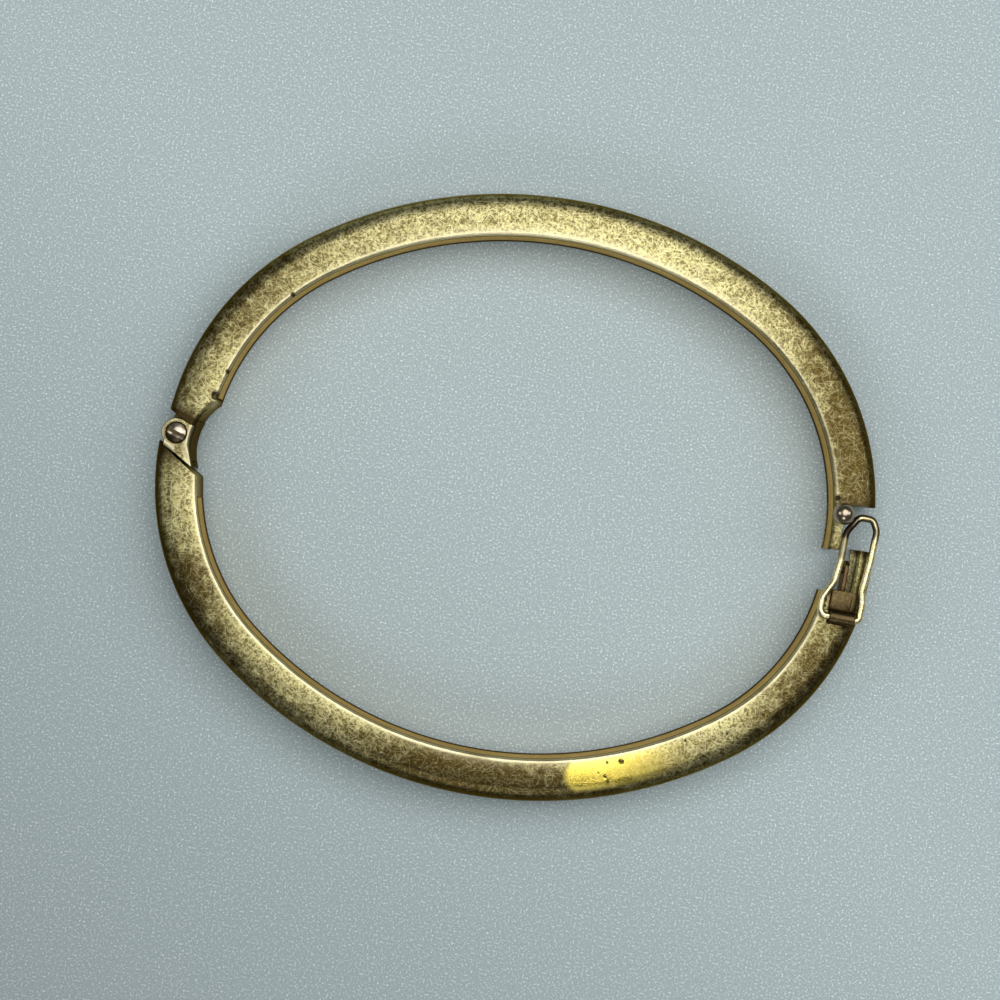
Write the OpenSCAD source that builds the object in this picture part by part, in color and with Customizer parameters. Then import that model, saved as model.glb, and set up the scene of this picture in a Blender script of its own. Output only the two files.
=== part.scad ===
// Oval hinged bangle, lying on its side and standing a few degrees open.
// Both halves are drawn in the frame of the closed oval: the long axis is X, the hinge is
// at -X, the clasp at +X and Z runs through the wrist opening. The upper half is then
// turned about the hinge pin.

/* [Oval] */
// Outer length of the upper half's oval
outer_long = 66; // [60:0.5:74]
// Outer height of the upper half's oval
outer_short = 54; // [50:0.5:60]
// Outer radius of the two tight ends of the upper half's oval
end_r = 24.5; // [23:0.25:26]
// How much the lower half has sprung longer than the upper half
spring_long = 0.8; // [0:0.1:1]
// How much the lower half has sprung flatter than the upper half
spring_flat = 0.4; // [0:0.1:0.6]
// How much tighter the lower half's ends are
spring_end = 1; // [0:0.1:1.4]
// How far the bangle stands open
open_angle = 3.6; // [0:0.1:60]

/* [Band section] */
// Width of the band along the wrist
band_h = 6; // [5.8:0.1:7]
// Thickness of the band from the wrist side to the crown
band_w = 4.1; // [4:0.05:4.4]
// Sheet thickness of the shell
wall = 0.5; // [0.4:0.05:0.55]
// Thickness of the liner strip that closes the shell's back
liner_t = 0.5; // [0.4:0.05:0.6]
// Radius of the edge on the wrist side
lip_r = 0.42; // [0.3:0.02:0.48]
// Radius of the shoulder between side face and crown
shoulder_r = 1.5; // [1.2:0.1:1.7]
// Radius of the crown across the band
crown_r = 7; // [6:0.5:9]
// Gap between pieces that are fitted together
fit_gap = 0.04; // [0.02:0.01:0.06]

/* [Hinge] */
// Depth of the hinge pin inside the outer outline
pin_inset = 1.3; // [1.2:0.05:1.4]
// Distance of the hinge pin above the long axis
pin_y = 1.05; // [0.8:0.05:1.2]
// Radius of the round ears
ear_r = 1.4; // [1.3:0.01:1.45]
// Thickness of each ear
ear_t = 1.5; // [1.3:0.1:1.6]
// How far the ears lie under the side faces
ear_drop = 0.1; // [0.05:0.05:0.2]
// Radius of the screw's shank
screw_r = 0.5; // [0.4:0.05:0.6]
// Radius of the screw's head
screw_head_r = 0.92; // [0.85:0.01:0.95]
// Radial clearance of the knuckle on the screw
pin_play = 0.04; // [0.02:0.01:0.06]

/* [Clasp] */
// Half the length over which the two ends lap
lap = 2.15; // [2:0.05:2.3]
// Width of the upper half's inner ledge
ledge_w = 0.95; // [0.9:0.05:1]
// Radius of the safety ball
ball_r = 1; // [0.9:0.01:1.05]
// Height of the ball's centre over the side face
ball_z = 1.62; // [1.58:0.01:1.7]
// Radius of the catch's wire
wire_r = 0.32; // [0.3:0.01:0.33]
// Outer radius of the catch's barrel
barrel_r = 0.68; // [0.6:0.02:0.7]

/* [Hidden] */
$fn = 96;

// An oval: two end arcs and two side arcs that meet without a kink. Its entries are the place and
// the radius of the end arcs, the radius and the place of the side arcs, and the angle of the seams
function oval(long, short, end) =
    let (
        at = long - end,
        side = (at * at + short * short - end * end) / (2 * (short - end))
    )
    [at, end, side, side - short, atan2(side - short, at)];

half_long = outer_long / 2;
half_short = outer_short / 2;
upper_oval = oval(half_long, half_short, end_r);
low_long = half_long + spring_long / 2;
low_short = half_short - spring_flat / 2;
lower_oval = oval(low_long, low_short, end_r - spring_end);
end_x = upper_oval[0];

// Section: u runs from the wrist side outwards, the second value is the height
shoulder_reach = sqrt(pow(crown_r - shoulder_r, 2) - pow(band_h / 2 - shoulder_r, 2));
shoulder_u = band_w - crown_r + shoulder_reach;
tangent_a = asin((band_h / 2 - shoulder_r) / (crown_r - shoulder_r));
past = 1;

// Hinge
pin = [-half_long + pin_inset, pin_y];
upper_end_a = 69.5;
upper_end_d = 1.63;
lower_end_a = 238;
lower_end_d = 1.7;
ear_gap = 0.07;
tail_l = 3.5;
block_a = 13;
clasp_a = 9;
relief_r = 5.2;
relief_at = [-25.08, 0];
bevel = 0.3;
screw_z = 0.5;
seat_d = 0.35;
seat_r = screw_head_r + 0.05;
ear_top = band_h - ear_drop;
groove_d = 0.45;
knuckle_r = 0.95;
slot_r = knuckle_r + 0.07;
knuckle_gap = 0.06;
knuckle_low = ear_drop + ear_t + knuckle_gap;
knuckle_high = band_h - knuckle_low;
cut_l = 9;

// Clasp
lap_gap = 0.06;
inner_x = half_long - band_w;
ledge_x = inner_x + ledge_w;
skin_x = 31.4;
ball_at = [29.58, 1.25];
neck_r = 0.16;
end_wall = 0.5;
wire_z = band_h + 0.05 + wire_r;
barrel_y = -4.3;
barrel_x = [29.97, 32.33];
bore_r = wire_r + 0.05;
box_x = [29.85, 31.66];
box_y = [-3.72, -1.85];
box_top = band_h + 0.42;
box_r = 0.3;
box_side_gap = 0.3;
plug_top = 4.9;
plug_x = [29.87, 31.5];
plate_low = band_h + 0.04;
plate_right = 32.1;
ridge_x = 31.72;
ridge_h = 0.1;
tongue_x = [30.88, 31.25];
tongue_z = [1.6, 4.4];
tongue_y = [-2.9, 0.95];
bead_r = 0.32;

// Corners of the catch's wire: x, y and bend radius, from one end in the barrel to the other
wire_corners = [
    [30.8, barrel_y, 0],
    [29.08, barrel_y, 0.6],
    [29.08, -2.7, 1.2],
    [29.88, -1.05, 1.6],
    [30.1, 0.9, 4],
    [30.1, 3.5, 1.3],
    [31.05, 5.06, 0.75],
    [32.3, 5.06, 0.6],
    [32.82, 4.1, 1.2],
    [32.76, 1.2, 6],
    [32.5, -1.55, 2],
    [32.74, -2.8, 1.6],
    [32.7, barrel_y, 0.36],
    [31.7, barrel_y, 0]
];

wire_sides = 16;
wire_step = 12;

// Middle of the whole part's own box, so that its origin is under the middle
top_y = pin.y - pin.x * sin(open_angle) - (upper_oval[3] + pin.y) * cos(open_angle) + upper_oval[2];
mid = [0, (top_y - low_short) / 2];

// Nicks worn into the upper half's inner edge: x, y and radius
nicks = [[-28.5, 4.81, 0.38], [-27.69, 7.12, 0.22], [-22.97, 14.9, 0.26]];

function polar(r, a) = [r * cos(a), r * sin(a)];
function arc(centre, r, from, to, n) =
    [for (k = [0:n]) centre + polar(r, from + (to - from) * k / n)];
function unit(v) = v / norm(v);
function turn(a, b) = atan2(a.x * b.y - a.y * b.x, a * b);

// Crown and shoulders of the section, taken in by the given amount, from bottom to top
function crown(inset, n) = concat(
    arc([shoulder_u, shoulder_r], shoulder_r - inset, -90, -tangent_a, 2 * n),
    arc([band_w - crown_r, band_h / 2], crown_r - inset, -tangent_a / 2, tangent_a / 2, n),
    arc([shoulder_u, band_h - shoulder_r], shoulder_r - inset, tangent_a, 90, 2 * n)
);

// Section's outer edge, from the lower lip round the crown to the upper lip
function outer_edge() = concat(
    arc([lip_r, lip_r], lip_r, 180, 270, 3),
    crown(0, 3),
    arc([lip_r, band_h - lip_r], lip_r, 90, 180, 3)
);

// Full section with its rounded edges on the wrist side
module solid_section() {
    polygon(outer_edge());
}

// Room inside the sheet
module inner_section(inset) {
    polygon(concat([[liner_t + inset, inset]], crown(inset, 2), [[liner_t + inset, band_h - inset]]));
}

// Shell of bent sheet, open towards the wrist
module shell_section() {
    inside = crown(wall, 2);
    polygon(concat(
        outer_edge(),
        [[0, band_h - wall]],
        [for (i = [len(inside) - 1:-1:0]) inside[i]],
        [[0, wall]]
    ));
}

// Flat strip that lies between the shell's edges
module liner_section() {
    translate([fit_gap, wall + fit_gap])
        square([liner_t, band_h - 2 * (wall + fit_gap)]);
}

// Carries the section that follows along an arc about the origin
module along(r, first, last) {
    rotate_extrude(start = first, angle = last - first) translate([r - band_w, 0]) children();
}

// What lies past the seam between the right end arc and the side arc
module past_seam(o) {
    translate([o[0], 0, -past]) rotate([0, 0, o[4]])
        translate([-o[2], 0, 0]) cube([3 * o[2], cut_l, band_h + 2 * past]);
}

// What lies before that seam
module before_seam(o) {
    translate([o[0], 0, -past]) rotate([0, 0, o[4]])
        translate([-o[2], -cut_l, 0]) cube([3 * o[2], cut_l, band_h + 2 * past]);
}

// Carries a section along the upper half of an oval, from the clasp to the given angle before the hinge
module half_band(o, hinge_a) {
    over_a = 2;
    difference() {
        translate([o[0], 0, 0]) along(o[1], -clasp_a, o[4] + over_a) children();
        past_seam(o);
    }
    difference() {
        translate([0, -o[3], 0]) along(o[2], o[4] - over_a, 180 - o[4] + over_a) children();
        before_seam(o);
        mirror([1, 0, 0]) before_seam(o);
    }
    mirror([1, 0, 0]) difference() {
        translate([o[0], 0, 0]) along(o[1], hinge_a, o[4] + over_a) children();
        past_seam(o);
    }
}

// Massive piece in the hinge end of a half
module hinge_block(o) {
    mirror([1, 0, 0]) translate([o[0], 0, 0]) along(o[1], 0, block_a) solid_section();
}

// Everything on the pin's side of an end cut
module end_cut(angle, distance) {
    translate([pin.x, pin.y, -past])
        rotate([0, 0, angle])
            translate([distance - cut_l, -cut_l / 2, 0])
                cube([cut_l, cut_l, band_h + 2 * past]);
}

// Scoop that thins the upper half at the hinge, bevelled at its top and bottom
module relief() {
    wide_r = relief_r + bevel + ear_drop + past;
    translate([relief_at.x, relief_at.y, 0]) rotate_extrude() polygon([
        [0, -past],
        [wide_r, -past],
        [relief_r, ear_drop + bevel],
        [relief_r, ear_top - bevel],
        [wide_r, band_h + past],
        [0, band_h + past]
    ]);
}

// A box between two corners
module block(x, y, z) {
    translate([x[0], y[0], z[0]]) cube([x[1] - x[0], y[1] - y[0], z[1] - z[0]]);
}

// Outline of the fork: a ring round the screw with a tail along the lower half's end
module fork_outline(to_end) {
    up = polar(1, upper_end_a);
    along_up = [up.y, -up.x];
    down = polar(1, lower_end_a);
    along_down = [-down.y, down.x];
    reach = to_end ? upper_end_d + 0.2 : ear_r - 0.03;
    tip_d = lower_end_d - ear_gap;
    circle(ear_r);
    polygon([
        up * reach - along_up * (to_end ? 0.9 : 0),
        up * reach + along_up * 2.2,
        down * tip_d + along_down * tail_l,
        down * tip_d - along_down * 0.2,
        polar(ear_r - 0.15, 200)
    ]);
}

// Upper half's fork: two ears and the web between them, open to the outside
module fork() {
    slot_low = ear_drop + ear_t;
    translate([pin.x, pin.y, 0]) difference() {
        union() {
            translate([0, 0, ear_drop]) linear_extrude(groove_d) fork_outline(false);
            translate([0, 0, ear_drop + groove_d])
                linear_extrude(ear_top - ear_drop - 2 * groove_d) fork_outline(true);
            translate([0, 0, ear_top - groove_d]) linear_extrude(groove_d) fork_outline(false);
        }
        translate([0, 0, slot_low]) linear_extrude(band_h - 2 * slot_low) {
            circle(slot_r);
            polygon([[0, 0], for (a = [100:50:300]) polar(cut_l, a)]);
        }
    }
}

// Middle knuckle of the lower half, between the ears
module knuckle() {
    down = polar(1, lower_end_a);
    along_down = [-down.y, down.x];
    into = lower_end_d + 0.3;
    tall = knuckle_high - knuckle_low;
    translate([pin.x, pin.y, knuckle_low]) {
        cylinder(h = tall, r = knuckle_r);
        linear_extrude(tall) polygon([
            polar(knuckle_r - 0.05, 285),
            down * into + along_down,
            down * into - along_down * 0.1,
            polar(knuckle_r - 0.05, 195)
        ]);
    }
}

// Turns the upper half and what is on it about the hinge pin
module opened() {
    translate([pin.x, pin.y, 0]) rotate([0, 0, open_angle]) translate([-pin.x, -pin.y, 0]) children();
}

// Puts the part's middle on the origin
module centred() {
    translate([-mid.x, -mid.y, 0]) children();
}

// Upper half: shell, hinge fork and inner ledge, soldered into one
module upper_shell() {
    color("goldenrod") centred() opened() difference() {
        union() {
            half_band(upper_oval, block_a) shell_section();
            difference() {
                hinge_block(upper_oval);
                end_cut(upper_end_a, upper_end_d);
            }
            fork();
        }
        relief();
        block([ledge_x, half_long + past], [-3 * lap, lap], [-past, band_h + past]);
        block([inner_x - 2 * past, half_long], [-3 * lap, -lap + lap_gap], [-past, band_h + past]);
        translate([pin.x, pin.y, 0]) {
            translate([0, 0, screw_z]) cylinder(h = band_h, r = screw_r + fit_gap);
            translate([0, 0, ear_top - seat_d]) cylinder(h = 2 * past, r = seat_r);
        }
        translate([ball_at.x, ball_at.y, band_h / 2]) cylinder(h = band_h, r = neck_r + fit_gap);
        for (n = nicks) translate([n.x, n.y, band_h + n[2] / 3]) sphere(n[2]);
    }
}

// Plate that closes the upper half's hollow end behind the ledge
module end_plate() {
    color("goldenrod") centred() opened() intersection() {
        translate([end_x, 0, 0]) along(end_r, 3, clasp_a) inner_section(wall + fit_gap);
        block([ledge_x, half_long + past], [lap, lap + end_wall], [0, band_h]);
    }
}

// Liner strip of the upper half, which runs on to the end of the ledge
module upper_liner() {
    color("peru") centred() opened() difference() {
        half_band(upper_oval, block_a + 0.2) liner_section();
        block([inner_x - 2 * past, half_long], [-3 * lap, -lap + lap_gap], [-past, band_h + past]);
    }
}

// Slotted screw that holds the hinge together
module hinge_screw() {
    head_low = ear_top - seat_d + fit_gap;
    head_h = 0.38;
    dome_h = 0.28;
    dome_r = (screw_head_r * screw_head_r + dome_h * dome_h) / (2 * dome_h);
    slot_w = 0.26;
    slot_d = 0.4;
    slot_a = -21;
    color("silver") centred() opened() translate([pin.x, pin.y, 0]) difference() {
        union() {
            translate([0, 0, screw_z + fit_gap]) cylinder(h = head_low - screw_z, r = screw_r);
            translate([0, 0, head_low]) cylinder(h = head_h, r = screw_head_r);
            intersection() {
                translate([0, 0, head_low + head_h + dome_h - dome_r]) sphere(dome_r);
                translate([0, 0, head_low + head_h]) cylinder(h = dome_h, r = screw_head_r);
            }
        }
        translate([0, 0, head_low + head_h + dome_h]) rotate([0, 0, slot_a])
            cube([3 * screw_head_r, slot_w, 2 * slot_d], center = true);
    }
}

// Ball on a thin neck, set in the ledge
module ball_stud() {
    color("silver") centred() opened() translate([ball_at.x, ball_at.y, 0]) {
        translate([0, 0, band_h + ball_z]) sphere(ball_r);
        translate([0, 0, band_h - wall]) cylinder(h = wall + ball_z, r = neck_r);
    }
}

// Lower half: shell, hinge knuckle and the outer skin that laps the ledge, soldered into one
module lower_shell() {
    color("goldenrod") centred() difference() {
        union() {
            mirror([0, 1, 0]) half_band(lower_oval, block_a) shell_section();
            difference() {
                mirror([0, 1, 0]) hinge_block(lower_oval);
                end_cut(lower_end_a, lower_end_d);
            }
            knuckle();
        }
        block([inner_x - 2 * past, skin_x], [-lap, 3 * lap], [-past, band_h + past]);
        block([skin_x - past, low_long + past], [lap - lap_gap, 3 * lap], [-past, band_h + past]);
        block(
            [box_x[0] - box_side_gap, box_x[1] + fit_gap],
            [box_y[0] - fit_gap, 0],
            [band_h - 1.5 * wall, band_h + past]
        );
        barrel_bar(barrel_r + fit_gap, barrel_x[0] - fit_gap, barrel_x[1] + fit_gap);
        translate([pin.x, pin.y, 0]) cylinder(h = band_h, r = screw_r + pin_play);
    }
}

// Liner strip of the lower half
module lower_liner() {
    color("peru") centred() difference() {
        mirror([0, 1, 0]) half_band(lower_oval, block_a + 0.2) liner_section();
        block([inner_x - 2 * past, half_long], [-lap, 3 * lap], [-past, band_h + past]);
    }
}

// A round bar on the catch's axis
module barrel_bar(r, from_x, to_x) {
    translate([from_x, barrel_y, wire_z]) rotate([0, 90, 0]) cylinder(h = to_x - from_x, r = r);
}

// Plug in the lower half's end, with a box on top and a rolled barrel for the catch
module catch_block() {
    top_l = box_y[1] - box_y[0];
    color("saddlebrown") centred() difference() {
        union() {
            block(plug_x, box_y, [wall + 3 * fit_gap, plug_top]);
            block(box_x, box_y, [plug_top - box_r, plate_low]);
            translate([box_x[0], box_y[0], plate_low]) linear_extrude(box_top - plate_low) {
                square([plate_right - box_x[0], top_l - box_r]);
                translate([box_r, 0]) square([plate_right - box_x[0] - 2 * box_r, top_l]);
                for (x = [box_r, plate_right - box_x[0] - box_r])
                    translate([x, top_l - box_r]) circle(box_r);
            }
            block(
                [ridge_x, plate_right - box_r / 2],
                [box_y[0], box_y[1] - box_r],
                [plate_low, box_top + ridge_h]
            );
            barrel_bar(barrel_r, barrel_x[0], barrel_x[1]);
            block(box_x, [barrel_y, box_y[0] + box_r], [band_h + fit_gap, box_top]);
        }
        barrel_bar(bore_r, barrel_x[0] - past, barrel_x[1] + past);
        block(
            [tongue_x[0] - fit_gap, tongue_x[1] + fit_gap],
            [tongue_y[0] - fit_gap, 0],
            [tongue_z[0] - fit_gap, tongue_z[1] + fit_gap]
        );
    }
}

// Spring leaf with a bead near its tip, let into the plug
module snap_tongue() {
    tip_r = 0.7;
    middle = (tongue_z[0] + tongue_z[1]) / 2;
    color("sienna") centred() union() {
        block(tongue_x, [tongue_y[0], tongue_y[1] - tip_r], tongue_z);
        translate([tongue_x[0], tongue_y[1] - tip_r, middle]) rotate([0, 90, 0])
            intersection() {
                cylinder(h = tongue_x[1] - tongue_x[0], r = (tongue_z[1] - tongue_z[0]) / 2);
                translate([-band_h / 2, 0, 0]) cube([band_h, tip_r, band_h]);
            }
        translate([tongue_x[0], tongue_y[1] - tip_r - 0.2, middle]) sphere(bead_r);
    }
}

// Points along one bend of the wire, from the ways in and out of its corner
function bend(corner, way_in, way_out, r) =
    let (
        a = turn(way_in, way_out),
        start = corner - way_in * r * tan(abs(a) / 2),
        centre = start + [-way_in.y, way_in.x] * r * sign(a),
        from = atan2(start.y - centre.y, start.x - centre.x),
        steps = ceil(abs(a) / wire_step)
    )
    [for (k = [0:steps]) centre + polar(r, from + a * k / steps)];

// Loop of wire that turns in the barrel and lies over the closed ends
module safety_catch() {
    at = [for (c = wire_corners) [c[0], c[1]]];
    last = len(at) - 1;
    way = [for (i = [0:last - 1]) unit(at[i + 1] - at[i])];
    path = [
        at[0],
        for (i = [1:last - 1]) each bend(at[i], way[i - 1], way[i], wire_corners[i][2]),
        at[last]
    ];
    end = len(path) - 1;
    step = [for (i = [0:end - 1]) unit(path[i + 1] - path[i])];
    rings = [for (i = [0:end])
        let (
            before = step[max(i - 1, 0)],
            after = step[min(i, end - 1)],
            ahead = unit(before + after),
            widen = 1 / (ahead * before)
        )
        for (j = [0:wire_sides - 1])
            let (across = wire_r * cos(360 * j / wire_sides) * widen)
            [
                path[i].x + ahead.y * across,
                path[i].y - ahead.x * across,
                wire_z + wire_r * sin(360 * j / wire_sides)
            ]
    ];
    skin = [for (i = [0:end - 1]) for (j = [0:wire_sides - 1])
        let (k = (j + 1) % wire_sides)
        [
            i * wire_sides + j,
            (i + 1) * wire_sides + j,
            (i + 1) * wire_sides + k,
            i * wire_sides + k
        ]
    ];
    caps = [
        [for (j = [0:wire_sides - 1]) j],
        [for (j = [0:wire_sides - 1]) end * wire_sides + wire_sides - 1 - j]
    ];
    color("gold") centred() polyhedron(points = rings, faces = concat(skin, caps));
}

upper_shell();
end_plate();
upper_liner();
hinge_screw();
ball_stud();
lower_shell();
lower_liner();
catch_block();
snap_tongue();
safety_catch();
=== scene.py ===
# Hinged bangle lying on its side, a few degrees open, seen from straight above
import math

import bmesh
import bpy
import numpy as np
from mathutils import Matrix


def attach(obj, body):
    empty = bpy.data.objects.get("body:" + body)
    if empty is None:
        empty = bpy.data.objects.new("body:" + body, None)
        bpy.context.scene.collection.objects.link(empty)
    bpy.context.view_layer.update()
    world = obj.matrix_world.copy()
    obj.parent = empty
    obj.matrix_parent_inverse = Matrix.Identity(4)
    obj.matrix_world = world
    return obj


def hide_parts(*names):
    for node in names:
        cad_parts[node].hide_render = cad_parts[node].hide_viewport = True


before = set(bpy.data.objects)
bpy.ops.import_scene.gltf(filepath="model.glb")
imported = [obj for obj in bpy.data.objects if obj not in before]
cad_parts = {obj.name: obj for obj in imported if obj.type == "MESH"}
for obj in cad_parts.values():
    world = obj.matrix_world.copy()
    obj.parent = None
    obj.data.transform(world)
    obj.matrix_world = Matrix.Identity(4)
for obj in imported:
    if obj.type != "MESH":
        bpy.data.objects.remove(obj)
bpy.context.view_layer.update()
print("frame loaded:", len(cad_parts), "nodes")

scene = bpy.context.scene
mm = 0.001
sharpAngle = 34
rng = np.random.default_rng(41)

# Sizes in mm, in the frame of the closed oval, as in the part's source
band = {"width": 4.1, "height": 6.0, "sheet": 0.5, "lip": 0.28, "shoulder": 1.5, "crown": 7.0}
hinge = {"pin": (-31.7, 1.05), "open": 3.6, "blockAngle": 167.0, "earRadius": 1.4, "bore": 0.54,
         "slot": (1.6, 4.4)}
pinX, pinY = hinge["pin"]
# Each end's cut at the hinge: direction of its normal in degrees, distance from the pin
endCut = {"upper": (69.5, 1.63), "lower": (238.0, 1.7)}
clasp = {"lap": 2.15, "gap": 0.06, "ledge": 0.95, "skinX": 31.4}
scoop = {"x": -25.08, "y": 0.0, "radius": 5.2, "bevel": 0.4, "bevelDeep": 0.4, "fromAngle": 150}
# Middle of the part's own box at rest, and how many points each run of the mesh has
middle = (0.0, 1.10929)
steps = {"band": 330, "block": 60, "face": 26, "ledge": 26, "skin": 30, "liner": 300, "screw": 180,
         "ball": 72}


def ovalOf(long, short, end):
    # Two end arcs and two side arcs that meet without a kink
    at = long - end
    side = (at * at + short * short - end * end) / (2 * (short - end))
    return {"endX": at, "endRadius": end, "sideY": side - short, "sideRadius": side,
            "seam": math.degrees(math.atan2(side - short, at)), "inner": end - band["width"]}


# The lower half has sprung a little longer and flatter than the upper one
ovals = {"upper": ovalOf(33.0, 27.0, 24.5), "lower": ovalOf(33.4, 26.8, 23.5)}
# The shoulders' arcs touch the crown's, so their centres lie this far apart, and this far in height
centreGap = band["crown"] - band["shoulder"]
centreRise = band["height"] / 2 - band["shoulder"]
tangentAngle = math.degrees(math.asin(centreRise / centreGap))
shoulderDepth = band["width"] - band["crown"] + math.sqrt(centreGap ** 2 - centreRise ** 2)


# Placing and mesh making

def toRow(points, upper):
    # The upper half turns about the hinge pin by the open angle; then the part's middle goes to the origin
    p = np.array(points, dtype=float).reshape(-1, 3)
    if upper:
        a = math.radians(hinge["open"])
        x = p[:, 0] - pinX
        y = p[:, 1] - pinY
        p[:, 0] = pinX + x * math.cos(a) - y * math.sin(a)
        p[:, 1] = pinY + x * math.sin(a) + y * math.cos(a)
    p[:, 0] -= middle[0]
    p[:, 1] -= middle[1]
    return p * mm


def gridShell(points, closeRows=False):
    # Rows of points (rows, cols, 3), each row a closed ring, joined by quads into a solid. Rows that don't
    # close get one flat cap at each end
    rows, cols = points.shape[:2]
    i = np.arange(rows if closeRows else rows - 1)[:, None]
    j = np.arange(cols)[None, :]
    here, ahead, beside = i * cols, (i + 1) % rows * cols, (j + 1) % cols
    faces = np.stack([here + j, here + beside, ahead + beside, ahead + j], axis=-1).reshape(-1, 4).tolist()
    if not closeRows:
        faces.append(list(range(cols))[::-1])
        faces.append(list(range((rows - 1) * cols, rows * cols)))
    return points.reshape(-1, 3), faces


def surface(x, y, z, closeRows=False):
    return gridShell(np.stack(np.broadcast_arrays(x, y, z), axis=-1), closeRows)


def joinShells(shells):
    points, faces, start = [], [], 0
    for p, f in shells:
        points.append(p)
        faces += [[v + start for v in face] for face in f]
        start += len(p)
    return np.vstack(points), faces


def makePiece(name, shell, body, material, replaced, marks=None):
    # One object from points and faces; marks are values for each point that the material reads
    points, faces = shell
    mesh = bpy.data.meshes.new(name)
    mesh.from_pydata(toRow(points, body == "upper_half").tolist(), [], faces)
    for key, values in (marks or {}).items():
        column = mesh.attributes.new(key, "FLOAT", "POINT").data
        column.foreach_set("value", np.asarray(values, dtype=np.float32).ravel())
    work = bmesh.new()
    work.from_mesh(mesh)
    bmesh.ops.recalc_face_normals(work, faces=work.faces)
    work.to_mesh(mesh)
    work.free()
    mesh.polygons.foreach_set("use_smooth", np.ones(len(mesh.polygons), dtype=bool))
    mesh.set_sharp_from_angle(angle=math.radians(sharpAngle))
    mesh.materials.append(material)
    piece = bpy.data.objects.new(name, mesh)
    scene.collection.objects.link(piece)
    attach(piece, body)
    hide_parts(*replaced)
    print("made", name, len(mesh.polygons), "faces")


def smoothStep(low, high, x):
    t = np.clip((x - low) / (high - low), 0, 1)
    return t * t * (3 - 2 * t)


# The oval and its section

def ovalPoint(oval, angle, depth):
    # Point whose outward normal has this angle, at a depth counted outwards from the wrist side:
    # centre of the arc + (outer radius - band width + depth) * (cos angle, sin angle)
    right, left = angle < oval["seam"], angle > 180 - oval["seam"]
    cx = np.where(right, oval["endX"], np.where(left, -oval["endX"], 0.0))
    cy = np.where(right | left, 0.0, -oval["sideY"])
    r = np.where(right | left, oval["endRadius"], oval["sideRadius"]) - band["width"] + depth
    a = np.radians(angle)
    return cx + r * np.cos(a), cy + r * np.sin(a)


def arcPoints(centre, radius, first, last, count):
    a = np.radians(np.linspace(first, last, count))
    return np.stack([centre[0] + radius * np.cos(a), centre[1] + radius * np.sin(a)], axis=1)


def crownArcs(inset, fine):
    # Lower shoulder, crown and upper shoulder as three arcs, taken in by the inset
    h, r = band["height"], band["shoulder"]
    crown = arcPoints(
        (band["width"] - band["crown"], h / 2), band["crown"] - inset, -tangentAngle, tangentAngle, fine + 2)
    return np.vstack([
        arcPoints((shoulderDepth, r), r - inset, -90, -tangentAngle, fine),
        crown[1:-1],
        arcPoints((shoulderDepth, h - r), r - inset, tangentAngle, 90, fine),
    ])


def outerEdge(flatCount):
    # From the lower lip round the crown to the upper lip; the flat side faces get rows of their own
    h, lip = band["height"], band["lip"]
    low = np.linspace(lip, shoulderDepth, 10)[1:-1]
    high = np.linspace(shoulderDepth, lip, flatCount)[1:-1]
    return np.vstack([
        arcPoints((lip, lip), lip, 180, 270, 9),
        np.stack([low, np.zeros_like(low)], axis=1),
        crownArcs(0, 12),
        np.stack([high, np.full_like(high, h)], axis=1),
        arcPoints((lip, h - lip), lip, 90, 180, 9),
    ])


def shellProfile(flatCount):
    h, sheet = band["height"], band["sheet"]
    return np.vstack([
        outerEdge(flatCount),
        [[0, h - sheet], [shoulderDepth * 0.5, h - sheet]],
        crownArcs(sheet, 6)[::-1],
        [[shoulderDepth * 0.5, sheet], [0, sheet]],
    ])


def randomWaves(slow, quick, count):
    # Rate per mm, direction and phase of each wave
    return rng.uniform(slow, quick, count), rng.uniform(0, 2 * np.pi, count), rng.uniform(0, 2 * np.pi, count)


waves = {"fine": randomWaves(0.6, 1.6, 14), "broad": randomWaves(0.12, 0.4, 8)}


def unevenness(x, y, kind):
    # Mean of sines of position along random directions, between about -1 and 1
    rate, turn, phase = waves[kind]
    total = sum(np.sin(r * (x * math.cos(t) + y * math.sin(t)) + p) for r, t, p in zip(rate, turn, phase))
    return total / len(rate) ** 0.5 / 1.5


def bandStations(first, last, features):
    # Even steps along the normal's angle, with a close set wherever a worn spot needs it
    base = np.linspace(first, last, steps["band"])
    close = [np.linspace(a - w, a + w, n) for a, w, n in features if first < a < last]
    return np.unique(np.clip(np.concatenate([base, *close]), first, last))


def scoopDepth(angle, z):
    # Depth at which a ray from the left arc's centre leaves the upper half's scoop at the hinge, an upright
    # cylinder that widens at both faces: the root of |centre + r n - scoop| = radius, less the inner radius
    oval = ovals["upper"]
    fromFace = band["height"] - np.maximum(z, band["height"] - z)
    wide = scoop["radius"] + scoop["bevel"] * np.clip(1 - fromFace / scoop["bevelDeep"], 0, 1)
    dx, dy = -oval["endX"] - scoop["x"], -scoop["y"]
    a = np.radians(angle)
    b = np.cos(a) * dx + np.sin(a) * dy
    under = b * b - (dx * dx + dy * dy - wide * wide)
    root = -b + np.sqrt(np.maximum(under, 0))
    return np.where((under > 0) & (angle > scoop["fromAngle"]), np.maximum(root - oval["inner"], 0), 0)


def sweep(half, profile, firstOf, lastOf, stations):
    # profile(depth, height) carried along the oval: each profile point has its own first and last angle,
    # so that an end can be cut along any upright plane; share runs from 0 to 1 between them
    depth, z = profile[:, 0], profile[:, 1]
    first, last = firstOf(depth), lastOf(depth)
    share = (stations - stations[0]) / (stations[-1] - stations[0])
    angle = first[None, :] + (last - first)[None, :] * share[:, None]
    zz = np.broadcast_to(z, angle.shape).copy()
    dd = np.broadcast_to(depth, angle.shape)
    if half == "upper":
        taken = scoopDepth(angle, zz)
        dd = taken + dd * (1 - taken / band["width"])
    x, y = ovalPoint(ovals[half], angle, dd)
    return x, y if half == "upper" else -y, zz, dd, angle


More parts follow.
